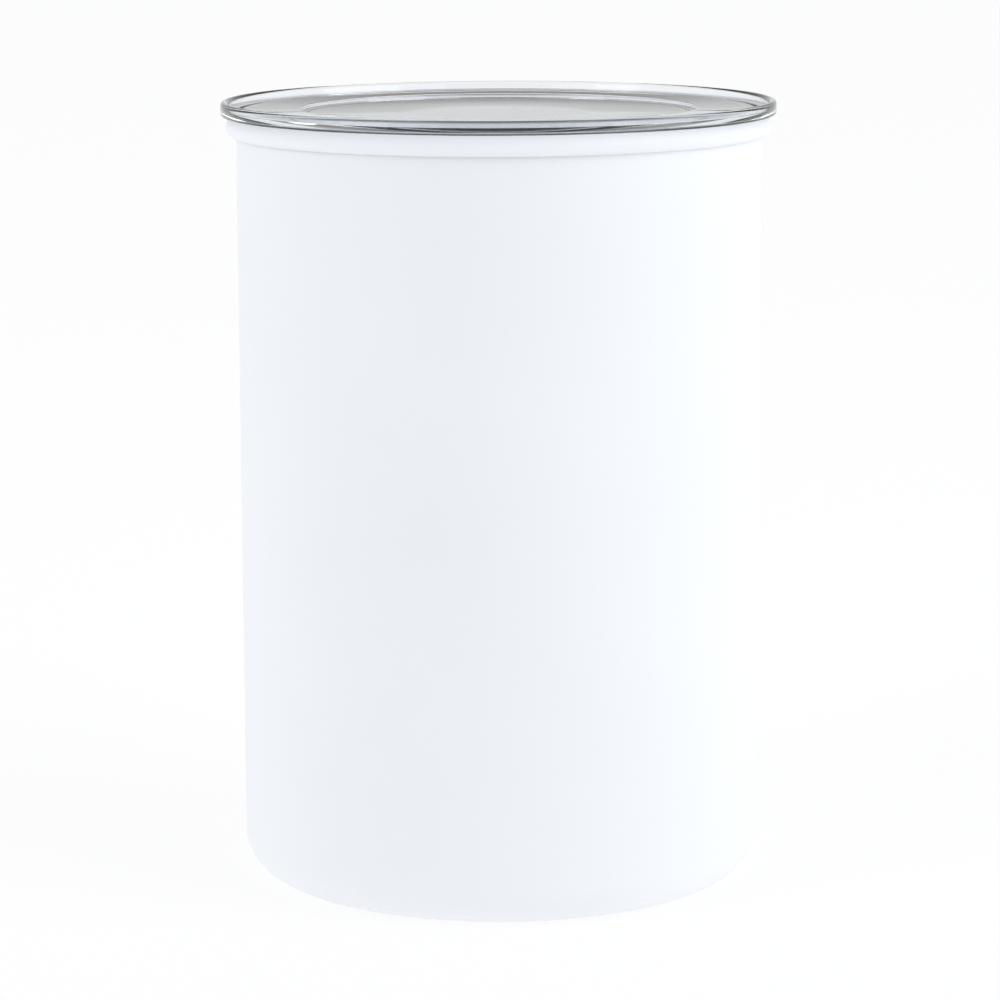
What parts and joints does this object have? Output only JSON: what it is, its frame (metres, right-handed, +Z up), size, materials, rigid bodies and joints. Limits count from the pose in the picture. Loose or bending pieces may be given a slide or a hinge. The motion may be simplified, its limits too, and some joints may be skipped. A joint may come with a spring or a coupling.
{
  "type": "coffee canister",
  "caption": "Straight-sided steel canister with a rolled rim, a clear cover lid and a push-down inner lid whose folding handle opens a valve.",
  "frame": {"origin": "centre of the canister's base, on the surface it stands on", "axes": "+Z up along the canister's axis, the folded handle's grip towards the front (-Y), +X to the right seen from the front"},
  "size_m": [0.1292, 0.1292, 0.183],
  "materials": {
    "powder_coated_steel": "matte white powder coat outside, bare brushed steel inside",
    "clear_plastic": "clear rigid plastic, polished",
    "grey_silicone": "matte grey silicone",
    "dark_plastic": "fine grained, matte",
    "brushed_steel": "brushed",
    "white_silicone": "matte silicone",
    "pale_plastic": "satin",
    "red_silicone": "matte silicone",
    "spring_steel": "bright drawn wire"
  },
  "bodies": {
    "canister": {"canister_body": "powder_coated_steel"},
    "cover_lid": {"outer_lid": "clear_plastic", "outer_lid_seal": "grey_silicone"},
    "inner_lid": {"inner_lid_base": "dark_plastic", "inner_lid_cover": "dark_plastic", "trim_plate": "brushed_steel", "wiper_seal": "white_silicone", "valve_spring": "spring_steel", "valve_screen": "brushed_steel", "cover_screws": "spring_steel"},
    "handle": {"lid_handle": "dark_plastic", "handle_axle": "brushed_steel"},
    "valve": {"stem_cap": "pale_plastic", "valve_stem": "pale_plastic", "valve_disc": "red_silicone"}
  },
  "joints": [
    {"name": "cover_lid_lift", "type": "slide", "parent": "canister", "child": "cover_lid", "axis": [0, 0, 1], "range_m": [0, 0.06]},
    {"name": "inner_lid_slide", "type": "slide", "parent": "canister", "child": "inner_lid", "axis": [0, 0, 1], "range_m": [-0.087, 0.022]},
    {"name": "handle_fold", "type": "hinge", "parent": "inner_lid", "child": "handle", "pos_m": [0, 0, 0.1192], "axis": [-1, 0, 0], "range_deg": [0, 90]},
    {"name": "valve_open", "type": "slide", "parent": "inner_lid", "child": "valve", "axis": [0, 0, -1], "range_m": [0, 0.0026], "deforming": ["valve_spring"]}
  ],
  "couplings": [
    {"joint": "valve_open", "follows": "handle_fold", "m_per_rad": 0.0016552}
  ]
}
